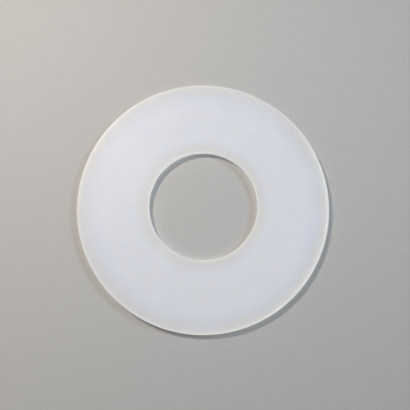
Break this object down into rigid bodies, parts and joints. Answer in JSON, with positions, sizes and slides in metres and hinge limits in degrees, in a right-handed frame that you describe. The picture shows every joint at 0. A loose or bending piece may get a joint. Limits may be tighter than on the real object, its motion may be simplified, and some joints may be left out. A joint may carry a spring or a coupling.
{
  "type": "flat washer",
  "caption": "Thin flat ring washer in milky natural plastic, with a plain round bore, that spreads a bolt's load, seals or insulates under its head or nut.",
  "frame": {"origin": "on the bore's axis at the underside", "axes": "+Z along the bore axis, out of the upper seating face; X and Y are free, because the ring is round"},
  "size_m": [0.05, 0.05, 0.0015],
  "materials": {
    "natural_plastic": "satin, milky translucent, undyed"
  },
  "bodies": {
    "root": {"washer_ring": "natural_plastic"}
  },
  "joints": []
}
